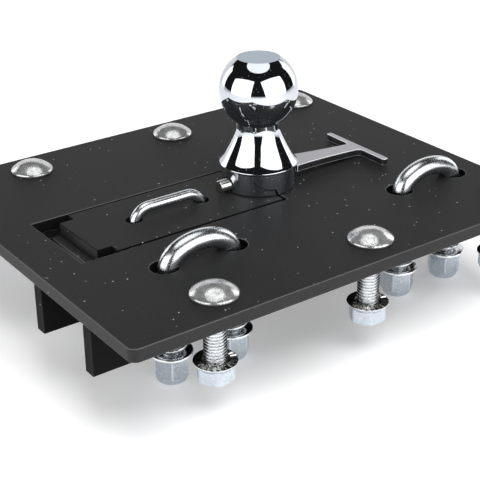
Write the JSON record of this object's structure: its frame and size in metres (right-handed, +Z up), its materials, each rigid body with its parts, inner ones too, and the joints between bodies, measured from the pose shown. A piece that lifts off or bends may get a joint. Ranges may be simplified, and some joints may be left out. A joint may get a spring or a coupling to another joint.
{
  "type": "gooseneck trailer hitch head",
  "caption": "Over-bed gooseneck trailer hitch head: black deck plate on rails, lift-up ball arm with pull pin, grab handle, spring-held safety-chain U-bolts and carriage bolts.",
  "frame": {"origin": "under the centre of the deck plate, level with the lowest faces, which are the U-bolt nuts'", "axes": "+X along the arm from its hinge to the ball end, +Y towards the side without U-bolts, +Z up"},
  "size_m": [0.366, 0.3048, 0.1874],
  "materials": {
    "deck_coat": "satin black powder coat",
    "rail_coat": "black powder coat",
    "arm_coat": "satin black powder coat",
    "lug_coat": "black powder coat",
    "chrome": "bright chrome plate",
    "pin_steel": "bright zinc-plated steel",
    "handle_zinc": "zinc-plated, satin",
    "grab_zinc": "bright zinc plate",
    "bolt_zinc": "bright zinc plate",
    "nut_zinc": "blue-white zinc plate",
    "u_bolt_zinc": "bright zinc plate",
    "lock_nut_zinc": "blue-white zinc plate",
    "washer_zinc": "zinc plate",
    "spring_steel": "zinc-plated spring wire"
  },
  "bodies": {
    "frame": {"main_plate": "deck_coat", "rail_outer_near": "rail_coat", "rail_inner_near": "rail_coat", "rail_inner_far": "rail_coat", "rail_outer_far": "rail_coat", "bed_bolt_1": "bolt_zinc", "bed_nut_1": "nut_zinc", "bed_bolt_2": "bolt_zinc", "bed_nut_2": "nut_zinc", "bed_bolt_3": "bolt_zinc", "bed_nut_3": "nut_zinc", "bed_bolt_4": "bolt_zinc", "bed_nut_4": "nut_zinc", "bed_bolt_5": "bolt_zinc", "bed_nut_5": "nut_zinc", "bed_bolt_6": "bolt_zinc", "bed_nut_6": "nut_zinc", "pivot_pin": "pin_steel", "pivot_washer": "washer_zinc", "cotter_pin": "pin_steel"},
    "swing_arm": {"arm_plate": "arm_coat", "hinge_lug": "lug_coat", "hitch_ball": "chrome", "ball_washer": "nut_zinc", "ball_nut": "nut_zinc"},
    "lock_pin": {"lock_pin_rod": "pin_steel", "lock_pin_handle": "handle_zinc"},
    "grab_handle": {"grab_handle": "grab_zinc", "grab_washer_left": "washer_zinc", "grab_washer_right": "washer_zinc", "grab_nut_left": "nut_zinc", "grab_nut_right": "nut_zinc"},
    "u_bolt_left": {"u_bolt_left": "u_bolt_zinc", "u_bolt_nut_left_a": "lock_nut_zinc", "u_bolt_washer_left_a": "washer_zinc", "u_bolt_spring_left_a": "spring_steel", "u_bolt_nut_left_b": "lock_nut_zinc", "u_bolt_washer_left_b": "washer_zinc", "u_bolt_spring_left_b": "spring_steel"},
    "u_bolt_right": {"u_bolt_right": "u_bolt_zinc", "u_bolt_nut_right_a": "lock_nut_zinc", "u_bolt_washer_right_a": "washer_zinc", "u_bolt_spring_right_a": "spring_steel", "u_bolt_nut_right_b": "lock_nut_zinc", "u_bolt_washer_right_b": "washer_zinc", "u_bolt_spring_right_b": "spring_steel"}
  },
  "joints": [
    {"name": "arm_lift", "type": "hinge", "parent": "frame", "child": "swing_arm", "pos_m": [-0.1325, 0, 0.0702], "axis": [0, -1, 0], "range_deg": [0, 92]},
    {"name": "pin_pull", "type": "slide", "parent": "swing_arm", "child": "lock_pin", "axis": [1, 0, 0], "range_m": [0, 0.05]},
    {"name": "grab_handle_rise", "type": "slide", "parent": "swing_arm", "child": "grab_handle", "axis": [0, 0, 1], "range_m": [0, 0.022]},
    {"name": "u_bolt_left_rise", "type": "slide", "parent": "frame", "child": "u_bolt_left", "axis": [0, 0, 1], "range_m": [0, 0.025], "stiffness_N_per_m": 3500, "springref_m": -0.004, "deforming": ["u_bolt_spring_left_a", "u_bolt_spring_left_b"]},
    {"name": "u_bolt_right_rise", "type": "slide", "parent": "frame", "child": "u_bolt_right", "axis": [0, 0, 1], "range_m": [0, 0.025], "stiffness_N_per_m": 3500, "springref_m": -0.004, "deforming": ["u_bolt_spring_right_a", "u_bolt_spring_right_b"]}
  ]
}
